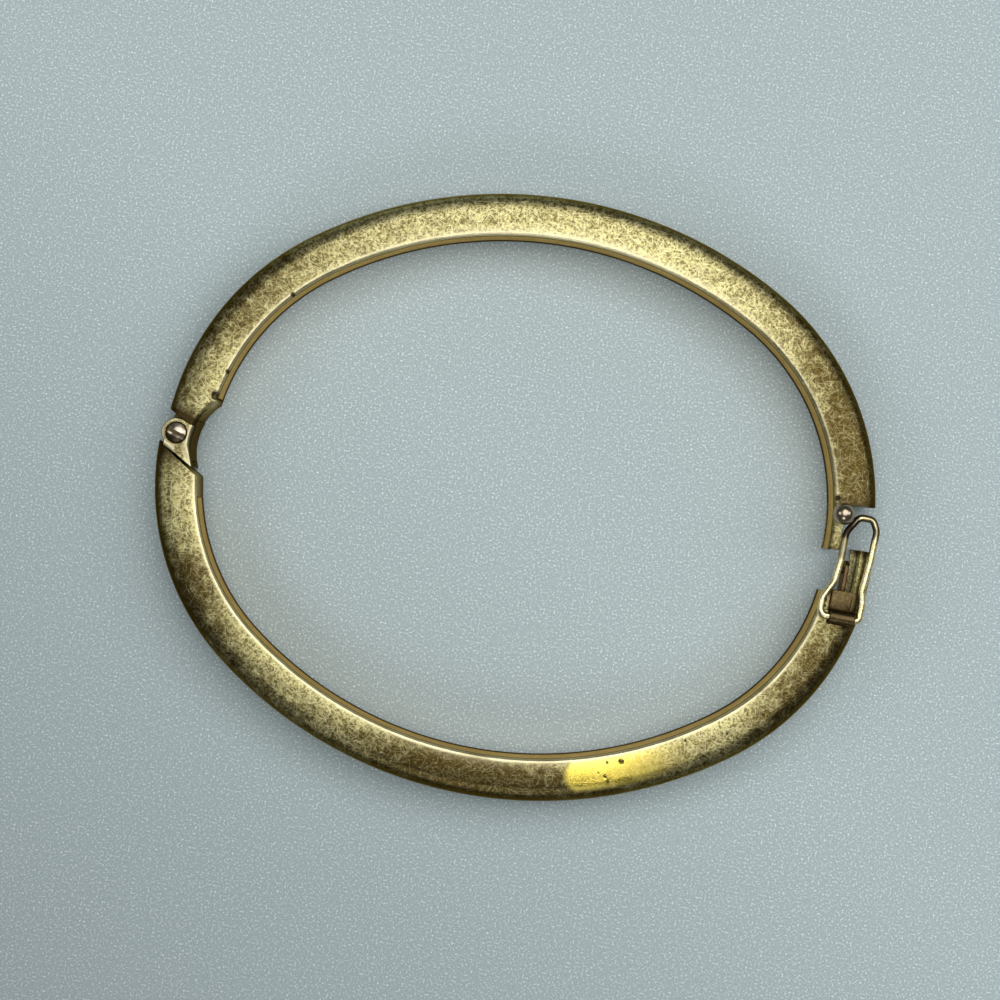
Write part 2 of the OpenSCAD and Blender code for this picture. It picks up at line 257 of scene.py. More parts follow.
def planeAngle(half, height):
    # Angle at which a point of the right end arc reaches the height y
    return lambda depth: np.degrees(np.arcsin(height / (ovals[half]["inner"] + depth)))


def lapAngles(half):
    # Both ends of the stretch in which the halves lap
    return planeAngle(half, clasp["gap"] - clasp["lap"]), planeAngle(half, clasp["lap"])


def endCutAngle(half):
    # Angle at which a point of the left end arc meets the end's cut, which lies at a distance from the pin
    # along a direction: radius * cos(angle - direction) = distance + (pin - centre) . direction
    direction, distance = endCut[half]
    atX, atY = hinge["pin"]
    if half == "lower":
        direction, atY = 360 - direction, -atY
    d = math.radians(direction)
    along = distance + (atX + ovals[half]["endX"]) * math.cos(d) + atY * math.sin(d)
    return lambda depth: direction + np.degrees(np.arccos(along / (ovals[half]["inner"] + depth)))


def steady(angle):
    return lambda depth: np.full_like(depth, angle)


# Worn spots: x, y, radius, depth in mm, in the closed oval's frame
worn = {
    "upper": [
        (-28.5, 4.81, 0.36, 0.24), (-27.69, 7.12, 0.2, 0.12), (-22.66, 14.85, 0.2, 0.14),
        (29.01, 2.6, 0.2, 0.1),
    ],
    "lower": [
        (13.84, -20.95, 0.2, 0.09), (12.60, -21.28, 0.1, 0.05), (12.66, -22.57, 0.14, 0.05),
        (12.0, -22.35, 0.06, 0.04), (13.0, -22.95, 0.18, 0.03), (22.88, -16.64, 0.12, 0.04),
        (19.23, -17.98, 0.1, 0.04), (-25.27, -17.42, 0.3, 0.08),
    ],
}
pocket = {"x": (29.5, 31.75), "y": -3.78, "depth": 0.42, "soft": 0.06}
groove = {"x": (29.9, 32.4), "y": -4.3, "z": 6.37, "radius": 0.73, "above": 5.3}
# Heights between which a side face's wear sets in, how far the face rolls off at both edges of the band
# (depths and drop in mm), and the height of its unevenness
sideFace = {"top": (5.55, 5.98), "low": (0.45, 0.02), "outer": (0.9, 3.2), "outerDrop": 0.08,
            "innerReach": 1.1, "innerDrop": 0.05, "fine": 0.012, "broad": 0.02}


def spotAngle(half, x, y):
    # Angle of the oval's normal through a point
    oval = ovals[half]
    side = abs(math.degrees(math.atan2(y + oval["sideY"], x)))
    if oval["seam"] < side < 180 - oval["seam"]:
        return side
    return math.degrees(math.atan2(y, x - math.copysign(oval["endX"], x)))


def faceDetail(x, y, z, depth, half):
    # What hand work and wear do to the flat faces: a slight roll towards both edges, a soft unevenness,
    # dents, and in the lower half the pocket and the groove under the catch's box and barrel
    top = smoothStep(*sideFace["top"], z)
    low = smoothStep(*sideFace["low"], z)
    roll = sideFace["outerDrop"] * smoothStep(*sideFace["outer"], depth) ** 1.5
    roll = roll + sideFace["innerDrop"] * np.clip(1 - depth / sideFace["innerReach"], 0, 1) ** 2
    uneven = sideFace["fine"] * (1 + unevenness(x, y, "fine")) / 2
    uneven = uneven + sideFace["broad"] * (1 + unevenness(x, y, "broad")) / 2
    drop = roll + uneven
    for sx, sy, r, deep in worn[half]:
        far = np.hypot(x - sx, y - sy) / r
        drop = drop + deep * np.exp(-far ** 4)
    z = z - top * drop + low * (roll + uneven)
    if half == "lower":
        (left, right), start, soft = pocket["x"], pocket["y"], pocket["soft"]
        inX = smoothStep(left, left + soft, x) * smoothStep(right, right - soft, x)
        inY = smoothStep(start, start + soft, y)
        z = z - pocket["depth"] * inX * inY * (z > sideFace["top"][0])
        across = groove["radius"] ** 2 - (y - groove["y"]) ** 2
        floorZ = groove["z"] - np.sqrt(np.maximum(across, 0))
        inside = (across > 0) & (x > groove["x"][0]) & (x < groove["x"][1]) & (z > groove["above"])
        z = np.where(inside, np.minimum(z, floorZ), z)
    return z


# Where the surface is darkened, in mm, as pairs of where it is none and where it is full, and how dark each
# kind is: by depth in the shoulder (partly tarnish, partly a painted dark reflection), by height on the
# crown, by height and depth in the lip's seam (painted shade), by distance from the pin, the lap's edge and
# the upper end's step (painted shadow), and by height and x on the bare walls
dirtAt = {
    "shoulder": {"upper": 3.0, "lower": 2.7}, "leftShift": 0.4, "leftOf": 4, "shoulderSoft": 0.7,
    "shoulderDark": 0.4, "edge": (3.4, 4.1), "edgeDark": 0.4, "crown": (4.3, 5.1), "crownShare": 0.2,
    "pin": (3.4, 1.7), "pinDark": 0.8, "lap": (1.0, 0.0), "lapDark": 0.5, "stepDark": 0.85, "wallDark": 0.5,
    "step": (0.4, 0.05), "wall": (5.65, 5.3), "wallX": (-25.0, -27.5), "seam": (5.75, 5.52),
    "seamDepth": (0.3, 0.0), "spotReach": 1.1, "spotDark": 0.95, "cleanDark": 0.2, "cleanLeftOf": -24,
}


def dirtAndShadeOf(x, y, z, depth, half):
    # Darkening: in the outer shoulder with little on the crown, partly tarnish and partly a painted dark
    # reflection; painted shade at the lip's seam; darker round the hinge and at the clasp; dirt in the worn
    # spots, of which the lower half's far left one is nearly clean
    start = dirtAt["shoulder"][half]
    if half == "upper":
        start = start + dirtAt["leftShift"] * (x < dirtAt["leftOf"])
    # Outer shoulder darkened: partly tarnish, partly a painted dark reflection
    edge = smoothStep(start, start + dirtAt["shoulderSoft"], depth) * dirtAt["shoulderDark"]
    edge = edge + smoothStep(*dirtAt["edge"], depth) * dirtAt["edgeDark"]
    edge = edge * (dirtAt["crownShare"] + (1 - dirtAt["crownShare"]) * smoothStep(*dirtAt["crown"], z))
    # Painted shade along the lip's seam with the liner
    seam = smoothStep(*dirtAt["seam"], z) * smoothStep(*dirtAt["seamDepth"], depth)
    atHinge = smoothStep(*dirtAt["pin"], np.hypot(x - pinX, y - pinY)) * dirtAt["pinDark"]
    lapY = clasp["lap"] if half == "upper" else -clasp["lap"]
    atClasp = smoothStep(*dirtAt["lap"], np.abs(y - lapY)) * (x > 20) * dirtAt["lapDark"]
    spots = 0
    for sx, sy, r, _ in worn[half]:
        clean = half == "lower" and sx < dirtAt["cleanLeftOf"]
        dark = dirtAt["cleanDark"] if clean else dirtAt["spotDark"]
        spots = spots + dark * np.exp(-(np.hypot(x - sx, y - sy) / (r * dirtAt["spotReach"])) ** 4)
    # Painted shadow along the upper end's step above the ears, and darker bare walls beside the hinge, which
    # no liner covers
    direction, distance = endCut["upper"]
    d = math.radians(direction)
    past = (x - pinX) * math.cos(d) + (y - pinY) * math.sin(d) - distance
    step = dirtAt["stepDark"] * smoothStep(*dirtAt["step"], past) * (half == "upper")
    bare = dirtAt["wallDark"] * smoothStep(*dirtAt["wall"], z) * smoothStep(*dirtAt["wallX"], x)
    return np.clip(edge + seam + atHinge + atClasp + spots + step + bare, 0, 1)


# Tone of the plating, worn, with the upper half's light top a painted highlight: name, half, angle, half
# width in degrees, depth, half width in mm, strength
toneAndLightSpots = [
    ("light top", "upper", 80, 25, 1.5, 3.5, 0.48),
    ("light outer left", "upper", 110, 17, 3.2, 1.3, 0.35),
    ("dark right end", "upper", 17, 20, 2.2, 3.2, -0.68),
    ("dull left end", "upper", 143, 11, 2.2, 3.0, -0.2),
    ("light left end", "upper", 163, 7, 1.2, 1.5, 0.3),
    ("light left end", "lower", 165, 12, 1.6, 2.4, 0.5),
    ("light lower left", "lower", 117, 15, 1.6, 2.2, 0.36),
    ("dark patch", "lower", 91, 11, 1.8, 2.4, -0.8),
    ("dull left", "lower", 146, 8, 2.2, 2.4, -0.38),
    ("dull right end", "lower", 30, 18, 2.2, 2.4, -0.2),
    ("rubbed inner side", "lower", 52, 12, 0.6, 1.2, 0.35),
    ("light outer side", "lower", 55, 10, 3.0, 1.2, 0.3),
]
# The buffed patch: angles along the band and depths across it in mm; its end is bowed
polished = {"from": 63.0, "to": 76.5, "low": 0.35, "high": 3.35, "bow": 0.5, "bowAt": 1.7, "endSoft": 1.3}


def toneAndLightOf(x, y, depth, angle, half):
    # 0 dull olive, 1 light gold: lighter towards the wrist side, duller towards the shoulder, a painted
    #                             highlight and painted shade that follow how the light falls across the side
    #                             face
    tone = 0.3 - 0.14 * smoothStep(1.4, 3.4, depth) + 0.2 * smoothStep(1.8, 0.2, depth)
    for _, side, at, wide, deep, thick, strength in toneAndLightSpots:
        if side == half:
            tone = tone + strength * np.exp(-((angle - at) / wide) ** 2 - ((depth - deep) / thick) ** 2)
    return tone + 0.1 * unevenness(x * 0.8, y * 0.8, "broad")


# Lip made light by wear and by painted highlight, by depth and height, how it grows along the upper half, and
# the faint band beside it, which is a painted highlight
lipRubAndHighlight = {"depth": (0.5, 0.2), "height": (5.45, 5.7), "least": 0.55, "more": 0.45, "grows": (50, 90),
          "beside": (1.2, 0.3), "besideLight": 0.4, "lowerShare": 0.35, "besideAngle": (82, 30)}
# Plating chipped off: half, x, y, radius in mm
chipped = [("lower", -25.11, -17.24, 0.16), ("lower", -23.31, -18.86, 0.12), ("lower", -18.21, -21.63, 0.20)]


def rubAndHighlightOf(x, y, z, depth, angle, half):
    # Lip at the wrist side made light, partly rubbed by wear and partly a painted highlight: strong in the
    # lower half and in the upper half's left part, with a faint wide band beside it at the top, a painted
    # highlight, and the chips
    lip = smoothStep(*lipRubAndHighlight["depth"], depth) * smoothStep(*lipRubAndHighlight["height"], z)
    grown = lipRubAndHighlight["least"] + lipRubAndHighlight["more"] * smoothStep(*lipRubAndHighlight["grows"], angle)
    strong = 1.0 if half == "lower" else grown
    patchy = np.clip(0.8 + 0.25 * unevenness(x * 1.5, y * 1.5, "fine"), 0, 1)
    share = lipRubAndHighlight["lowerShare"] if half == "lower" else 1.0
    # The wide band beside the lip is a painted highlight
    at, spread = lipRubAndHighlight["besideAngle"]
    wide = lipRubAndHighlight["besideLight"] * smoothStep(*lipRubAndHighlight["beside"], depth) * share
    wide = wide * np.exp(-((angle - at) / spread) ** 2)
    chips = sum(0.9 * np.exp(-(np.hypot(x - cx, y - cy) / r) ** 4)
                for side, cx, cy, r in chipped if side == half)
    return np.clip(lip * strong * patchy + wide * (z > 5.5) + chips, 0, 1)


def polishOf(depth, angle, half):
    # The one spot of the lower half that was buffed bright
    if half == "upper":
        return np.zeros_like(angle)
    start, low, high = polished["from"], polished["low"], polished["high"]
    end = polished["to"] - polished["bow"] * (depth - polished["bowAt"]) ** 2
    along = smoothStep(start - 6, polished["to"] - 4, angle)
    along = along * smoothStep(end, end - polished["endSoft"], angle)
    across = smoothStep(low - 0.3, low + 0.3, depth) * smoothStep(high, high - 0.9, depth)
    return along * across


# Materials

def nodeMaker(material):
    material.use_nodes = True
    tree = material.node_tree
    tree.nodes.clear()

    def add(kind, **sets):
        n = tree.nodes.new(kind)
        for key, value in sets.items():
            if key in n.inputs:
                n.inputs[key].default_value = value
            else:
                setattr(n, key, value)
        return n

    def link(a, aName, b, bName):
        tree.links.new(a.outputs[aName], b.inputs[bName])

    return add, link


def feed(socket, source):
    # A socket takes another node's output or a plain value
    if isinstance(source, bpy.types.NodeSocket):
        socket.id_data.links.new(source, socket)
    else:
        socket.default_value = source


def grey(v):
    return (v, v, v, 1)


def ramp(add, link, source, output, stops):
    r = add("ShaderNodeValToRGB")
    while len(r.color_ramp.elements) > 1:
        r.color_ramp.elements.remove(r.color_ramp.elements[0])
    r.color_ramp.elements[0].position = stops[0][0]
    r.color_ramp.elements[0].color = stops[0][1]
    for at, colour in stops[1:]:
        r.color_ramp.elements.new(at).color = colour
    link(source, output, r, "Fac")
    return r.outputs["Color"]


def mixColour(add, a, b, share, blend="MIX"):
    # Sockets 6 and 7 are the node's colours A and B, output 2 is their mix
    m = add("ShaderNodeMix", data_type="RGBA", blend_type=blend)
    feed(m.inputs[6], a)
    feed(m.inputs[7], b)
    feed(m.inputs[0], share)
    return m.outputs[2]


def calculate(add, operation, a, b):
    n = add("ShaderNodeMath", operation=operation, use_clamp=True)
    feed(n.inputs[0], a)
    feed(n.inputs[1], b)
    return n.outputs[0]


def times(add, a, b):
    return calculate(add, "MULTIPLY", a, b)


def plus(add, a, b):
    return calculate(add, "ADD", a, b)


def pointMark(add, name):
    return add("ShaderNodeAttribute", attribute_name=name).outputs["Fac"]


def noise(add, place, scale, detail, roughness):
    n = add("ShaderNodeTexNoise", Scale=scale, Detail=detail, Roughness=roughness)
    feed(n.inputs["Vector"], place)
    return n


def hairlines(add, link, place, look):
    # Crossing scratches: noise squeezed hard across each of several directions, its crests cut out
    total = None
    along, across, crest = look["scratchAlong"], look["scratchAcross"], look["scratchCut"]
    for i, turn in enumerate(look["scratchTurns"]):
        squeeze = add(
            "ShaderNodeMapping", vector_type="TEXTURE", Rotation=(0, 0, math.radians(turn)),
            Scale=(1 / along, 1 / across, 1 / along), Location=(0.013 * i, 0.007 * i, 0))
        feed(squeeze.inputs["Vector"], place)
        lines = noise(add, squeeze.outputs["Vector"], 1.0, 0.5, 0.4)
        cut = ramp(add, link, lines, "Fac", [(crest, grey(0)), (crest + 0.06, grey(1))])
        total = cut if total is None else mixColour(add, total, cut, 1.0, "LIGHTEN")
    return total


def wornMetal(name, look):
    # Plated metal: dull to light by the tone mark, which holds painted highlight and painted shade, and by
    # tarnish clouds, broken up by speckle, hairlines, dirt and painted shade, and bright where the marks say
    # that it was buffed, rubbed, or given a painted highlight
    material = bpy.data.materials.new(name)
    add, link = nodeMaker(material)
    place = add("ShaderNodeTexCoord").outputs["Object"]
    clouds = noise(add, place, look["cloudScale"], 5.0, 0.65)
    speckle = noise(add, place, look["speckleScale"], 2.0, 0.55)
    lines = hairlines(add, link, place, look)
    dirtAndShade = pointMark(add, "dirtAndShade")
    spread = ramp(add, link, clouds, "Fac", [(0.34, grey(0)), (0.66, grey(1))])
    level = spread
    if look["toned"]:
        cloud = add("ShaderNodeMapRange", **{"To Min": -look["cloud"] / 2, "To Max": look["cloud"] / 2})
        feed(cloud.inputs["Value"], spread)
        level = plus(add, pointMark(add, "tone"), cloud.outputs["Result"])
    specks = ramp(add, link, speckle, "Fac", [(0.40, grey(look["speckle"])), (0.56, grey(0))])
    glints = ramp(add, link, speckle, "Fac", [(0.60, grey(0)), (0.72, grey(look["speckle"]))])
    glints = times(add, glints, plus(add, level, 0.3))
    scratches = times(add, times(add, lines, look["scratch"]), plus(add, level, 0.25))
    layers = [("dark", specks), ("fresh", glints), ("fresh", scratches)]
    rough = plus(add, times(add, spread, 0.12), look["roughness"])
    if look["toned"]:
        polish = pointMark(add, "polish")
        # The lip colour follows the rub mark: partly wear, partly painted highlight
        layers += [("buffed", times(add, polish, 0.85)), ("lip", times(add, pointMark(add, "rubAndHighlight"), 0.8))]
        rough = calculate(add, "SUBTRACT", rough, times(add, polish, 0.12))
    rough = plus(add, rough, times(add, dirtAndShade, 0.15))
    base = mixColour(add, look["dull"], look["bright"], level)
    # The last layer darkens by the dirt and painted shade mark
    for colour, share in layers + [("dirt", dirtAndShade)]:
        base = mixColour(add, base, look[colour], share)
    bump = add("ShaderNodeBump", Strength=look["bump"], Distance=0.00003)
    feed(bump.inputs["Height"], mixColour(add, speckle.outputs["Color"], lines, 0.4))
    shader = add("ShaderNodeBsdfPrincipled", Metallic=1.0, **{"Specular Tint": look["edgeOn"]})
    feed(shader.inputs["Base Color"], base)
    feed(shader.inputs["Roughness"], rough)
    link(bump, "Normal", shader, "Normal")
    link(shader, "BSDF", add("ShaderNodeOutputMaterial"), "Surface")
    return material


goldLook = {
    "bright": (0.54, 0.485, 0.21, 1), "dull": (0.085, 0.059, 0.015, 1), "dark": (0.045, 0.03, 0.008, 1),
    "fresh": (0.68, 0.62, 0.34, 1), "dirt": (0.05, 0.034, 0.012, 1), "buffed": (0.95, 0.74, 0.12, 1),
    "lip": (0.85, 0.76, 0.48, 1), "edgeOn": (0.72, 0.55, 0.30, 1), "roughness": 0.30, "bump": 0.3,
    "toned": True, "cloud": 0.6, "cloudScale": 900.0, "speckleScale": 4600.0, "speckle": 0.75,
    "scratch": 0.62, "scratchTurns": (9, 38, 66, 97, 131, 160), "scratchAlong": 800, "scratchAcross": 9000,
    "scratchCut": 0.66,
}
plateGold = wornMetal("plateGold", goldLook)


def plainMetal(name, **look):
    # The small pieces' metals: the same build without the tone mark
    return wornMetal(name, {**goldLook, "toned": False, **look})


linerBrass = plainMetal(
    "linerBrass", bright=(1.0, 0.72, 0.30, 1), dull=(0.8, 0.54, 0.2, 1), dark=(0.4, 0.26, 0.1, 1),
    fresh=(1.0, 0.8, 0.42, 1), roughness=0.42, speckle=0.4, scratch=0.25)
wireGold = plainMetal(
    "wireGold", bright=(1.0, 0.90, 0.58, 1), dull=(0.82, 0.66, 0.30, 1), dirt=(0.04, 0.028, 0.018, 1),
    roughness=0.2, speckle=0.15, scratch=0.2)
boxBronze = plainMetal(
    "boxBronze", bright=(0.105, 0.075, 0.03, 1), dull=(0.055, 0.038, 0.017, 1), dark=(0.02, 0.014, 0.008, 1),
    fresh=(0.3, 0.22, 0.12, 1), roughness=0.24, speckle=0.3, scratch=0.12)
leafBrown = plainMetal(
    "leafBrown", bright=(0.13, 0.082, 0.04, 1), dull=(0.07, 0.044, 0.022, 1), dark=(0.04, 0.025, 0.015, 1),
    fresh=(0.4, 0.26, 0.15, 1), roughness=0.24, speckle=0.3, scratch=0.15)
screwSilver = plainMetal(
    "screwSilver", bright=(0.66, 0.57, 0.46, 1), dull=(0.44, 0.35, 0.26, 1), dark=(0.12, 0.08, 0.05, 1),
    fresh=(0.9, 0.84, 0.76, 1), edgeOn=(0.9, 0.86, 0.8, 1), roughness=0.2, cloudScale=700.0, speckle=0.2,
    scratch=0.15)
ballSilver = plainMetal(
    "ballSilver", bright=(0.46, 0.39, 0.29, 1), dull=(0.32, 0.25, 0.17, 1), dark=(0.15, 0.11, 0.07, 1),
    fresh=(0.9, 0.86, 0.78, 1), edgeOn=(0.95, 0.92, 0.88, 1), roughness=0.16, speckle=0.1, scratch=0.1,
    bump=0.1)
print("materials ready")


# Both shells

# Close stations at the lower half's pocket: angle, half width, count
pocketStop = (8.0, 5.2, 90)


def featureStops(half):
    # The same for each worn spot of a half, a little wider than the spot
    stops = [(spotAngle(half, x, abs(y)), max(0.9, r * 3.5), 26) for x, y, r, _ in worn[half]]
    return stops + [pocketStop] if half == "lower" else stops


def bandParts(half):
    # Two runs of shell, hollow up to the block and solid up to the hinge's cut, with their marks
    shells, marks = [], {"dirtAndShade": [], "tone": [], "polish": [], "rubAndHighlight": []}
    block = hinge["blockAngle"]
    lapEnd, cutEnd = planeAngle(half, clasp["lap"]), endCutAngle(half)
    runs = (
        (shellProfile(steps["face"]), lapEnd, steady(block), bandStations(5.5, block, featureStops(half))),
        (outerEdge(steps["face"]), steady(block), cutEnd, np.linspace(0, 1, steps["block"])),
    )
    for profile, firstOf, lastOf, stations in runs:
        x, y, z, depth, angle = sweep(half, profile, firstOf, lastOf, stations)
        z = faceDetail(x, y, z, depth, half)
        shells.append(surface(x, y, z))
        marks["dirtAndShade"].append(dirtAndShadeOf(x, y, z, depth, half).ravel())
        marks["tone"].append(toneAndLightOf(x, y, depth, angle, half).ravel())
        marks["polish"].append(polishOf(depth, angle, half).ravel())
        marks["rubAndHighlight"].append(rubAndHighlightOf(x, y, z, depth, angle, half).ravel())
    return shells, marks


def gather(marks, extra, tone, rubAndHighlightMarks=None):
    # Each mark as one list over all shells; extra shells bring their dirt and painted shade, and their wear
    # and painted highlight
    count = sum(len(g) for g in extra)
    return {
        "dirtAndShade": np.concatenate(marks["dirtAndShade"] + list(extra)),
        "tone": np.concatenate(marks["tone"] + [np.full(count, tone)]),
        "polish": np.concatenate(marks["polish"] + [np.zeros(count)]),
        "rubAndHighlight": np.concatenate(marks["rubAndHighlight"] + (rubAndHighlightMarks or [np.zeros(count)])),
    }


def polarOutline(angles, edges, ring):
    # Distance from the pin to the rim of an ear: the ring or, where it reaches further, the flat tail,
    # whose sides are lines at a distance d along a direction a, so r = d / cos(angle - a)
    tail = np.full_like(angles, 9.0)
    for direction, distance in edges:
        c = np.cos(np.radians(angles - direction))
        tail = np.where(c > 1e-3, np.minimum(tail, distance / np.maximum(c, 1e-3)), tail)
    return np.maximum(tail, ring)


def scoopLimit(angles, wide):
    # Distance along a ray from the pin to the scoop's cylinder
    qx, qy = scoop["x"] - pinX, scoop["y"] - pinY
    a = np.radians(angles)
    b = np.cos(a) * qx + np.sin(a) * qy
    under = b * b - (qx * qx + qy * qy - wide * wide)
    return np.where((under > 0) & (b > 0), b - np.sqrt(np.maximum(under, 0)), 99.0)


earAngles = np.linspace(0, 360, 361)[:-1]
# Sides of the ears' tail, of an ear and of the neck between them: direction, distance from the pin
tailEdges = [(238.0, 1.63), (186.6, 1.21)]
earEdges = tailEdges + [(69.5, 1.37), (136.0, 0.55)]
neckEdges = tailEdges + [(69.5, 1.83), (158.4, 0.93)]
# Top ear's side going up: share of the bevel's width, inset, height; then the sink and bore going down
topSide = [(0, 0, 5.45), (0, 0, 5.5), (0.2, 0, 5.62), (0.55, 0.02, 5.77), (0.85, 0.07, 5.86), (1, 0.14, 5.9),
           (1.7, 0.34, 5.9)]
topBore = [(1.02, 5.9), (0.97, 5.85), (0.96, 5.56), (hinge["bore"], 5.56), (hinge["bore"], 5.45)]
lowSide = [(1, 0.14, 0.1), (0.55, 0.02, 0.23), (0, 0, 0.45), (0, 0, 0.55)]
lowBore = [(0.3, 0.55), (0.3, 0.1)]
web = {"from": -56, "to": 95, "steps": 90, "inner": 1.02}


def ringSolid(angles, rims, heights, bores, closed=True):
    # A solid round the pin: for each angle a section of rim radii going up and bore radii coming down,
    # so the surface is a function of the angle and the place along that section
    a = np.radians(angles)[:, None]
    bore = np.repeat([[radius for radius, _ in bores]], len(angles), axis=0)
    r = np.concatenate([np.stack(rims, axis=1), bore], axis=1)
    z = np.array([*heights, *[height for _, height in bores]])
    return surface(pinX + r * np.cos(a), pinY + r * np.sin(a), z, closed)


def neckRim(angles):
    rim = polarOutline(angles, neckEdges, hinge["earRadius"])
    return np.minimum(rim, scoopLimit(angles, scoop["radius"]))


def forkParts():
    outer = polarOutline(earAngles, earEdges, hinge["earRadius"])
    signed = (earAngles + 180) % 360 - 180
    bevel = scoop["bevel"] * (0.12 + 0.88 * smoothStep(-60, -38, signed))

    def earRims(side):
        # Rims at a share of the bevel's width and with their outer side taken in
        return [np.minimum(outer - inset, scoopLimit(earAngles, scoop["radius"] + bevel * share))
                for share, inset, _ in side]

    topRims = earRims(topSide)
    topRims[-1] = np.maximum(topRims[-1], 1.03)
    neck = neckRim(earAngles)
    bore, (slotLow, slotHigh) = hinge["bore"], hinge["slot"]
    # Top ear, the neck above and below the slot, low ear, and the web on the wrist side of the slot
    webAngles = np.linspace(web["from"], web["to"], web["steps"])
    webRim = neckRim(webAngles)
    return [
        ringSolid(earAngles, topRims, [z for _, _, z in topSide], topBore),
        ringSolid(earAngles, [neck] * 2, [slotHigh, 5.45], [(bore, 5.45), (bore, slotHigh)]),
        ringSolid(earAngles, [neck] * 2, [0.55, slotLow], [(bore, slotLow), (bore, 0.55)]),
        ringSolid(earAngles, earRims(lowSide), [z for _, _, z in lowSide], lowBore),
        ringSolid(webAngles, [webRim] * 2, [slotLow, slotHigh],
                  [(web["inner"], slotHigh), (web["inner"], slotLow)], closed=False),
    ]


def forkShade(parts):
    # Painted shade all round, none on the top ear's face
    marks = []
    for points, _ in parts:
        x, y, z = points.T
        sink = smoothStep(1.1, 0.98, np.hypot(x - pinX, y - pinY))
        marks.append(np.clip(0.95 - smoothStep(5.7, 5.88, z) * (0.85 - 0.3 * sink), 0, 1))
    return marks


def forkHighlight(parts):
    # Painted highlight on the ears' edge on the wrist side and on the ring's rim
    marks = []
    for points, _ in parts:
        x, y, z = points.T
        off = np.hypot(x - scoop["x"], y - scoop["y"]) - scoop["radius"]
        inner = smoothStep(0.6, 0.45, off) * (y < 2.2)
        ring = smoothStep(1.15, 1.3, np.hypot(x - pinX, y - pinY)) * (x < pinX)
        marks.append(np.maximum(inner, ring) * smoothStep(5.7, 5.8, z))
    return marks


def ledgeParts():
    # Two strips of the upper shell that run on behind the lower end, above and below the liner
    h, lip, sheet, reach = band["height"], band["lip"], band["sheet"], clasp["ledge"]
    strip = np.vstack([
        [[0, h - sheet]], arcPoints((lip, h - lip), lip, 180, 90, 9),
        [[0.7, h], [reach - 0.04, h], [reach, h - 0.04], [reach, h - sheet]],
    ])
    shells, dirtAndShade = [], []
    for flip in (1, -1):
        section = strip.copy()
        if flip < 0:
            section[:, 1] = h - section[:, 1]
        x, y, z, _, _ = sweep("upper", section, *lapAngles("upper"), np.linspace(0, 1, steps["ledge"]))
        z = z - 0.02 * smoothStep(5.9, 6.0, z) + 0.02 * smoothStep(0.1, 0.0, z)
        shells.append(surface(x, y, z))
        # Painted shade where the strips run in under the lower end, over a light darkening all along
        dirtAndShade.append((0.2 + 0.6 * smoothStep(-1.7, -2.1, y)).ravel())
    return shells, dirtAndShade


upperShells, upperMarks = bandParts("upper")
fork = forkParts()
ledge, ledgeDirtAndShade = ledgeParts()
upperRubAndHighlight = forkHighlight(fork) + [np.zeros(len(g)) for g in ledgeDirtAndShade]
makePiece(
    "upperShell", joinShells(upperShells + fork + ledge), "upper_half", plateGold,
    ("upper_shell",), marks=gather(upperMarks, forkShade(fork) + ledgeDirtAndShade, 0.5, upperRubAndHighlight))


def outerSkin():
    # The lower shell's crown and shoulders, which run on over the upper half's ledge
    section = np.vstack([crownArcs(0, 12), crownArcs(band["sheet"], 12)[::-1]])
    inner = clasp["skinX"] - ovals["lower"]["endX"] - ovals["lower"]["inner"] + 0.02
    section[:, 0] = np.maximum(section[:, 0], inner)
    x, y, z, depth, _ = sweep("lower", section, *lapAngles("lower"), np.linspace(0, 1, steps["skin"]))
    z = faceDetail(x, y, z, depth, "lower")
    # Dark towards the tip, and along the seam beside the pocket
    dirtAndShade = dirtAndShadeOf(x, y, z, depth, "lower") * 0.2 + 0.8 * smoothStep(1.3, 2.0, y)
    dirtAndShade = dirtAndShade + 0.8 * np.exp(-((depth - 3.0) / 0.14) ** 2)
    return surface(x, y, z), np.clip(dirtAndShade, 0, 1).ravel()


# The neck's sides as directions and distances from the pin; it keeps within reach of the end's direction
knuckle = {"radius": 0.95, "heights": (1.66, 4.34), "steps": 121, "reach": 0.46,
           "neck": [(238.0, 2.0), (190.0, 0.95), (320.0, 0.72)]}


def knuckleSolid():
    # Round middle knuckle on the pin with a neck to the lower half's end
    a = np.linspace(0, 360, knuckle["steps"])[:-1]
    ahead = np.cos(np.radians(a - endCut["lower"][0]))
    outline = polarOutline(a, knuckle["neck"], knuckle["radius"])
    rim = np.where(ahead > knuckle["reach"], outline, knuckle["radius"])
    (low, high), bore = knuckle["heights"], hinge["bore"]
    return ringSolid(a, [rim, rim], [low, high], [(bore, high), (bore, low)])


lowerShells, lowerMarks = bandParts("lower")
skin, skinDirtAndShade = outerSkin()
middleKnuckle = knuckleSolid()
# The middle knuckle, between the ears, is darkened all over: painted shade
makePiece(
    "lowerShell", joinShells(lowerShells + [skin, middleKnuckle]), "lower_half", plateGold,
    ("lower_shell",), marks=gather(lowerMarks, [skinDirtAndShade, np.full(len(middleKnuckle[0]), 0.9)], 0.9))

liner = {"front": 0.04, "corner": 0.07, "back": 0.54, "play": 0.03, "endAngle": 166.8, "waver": 0.02}


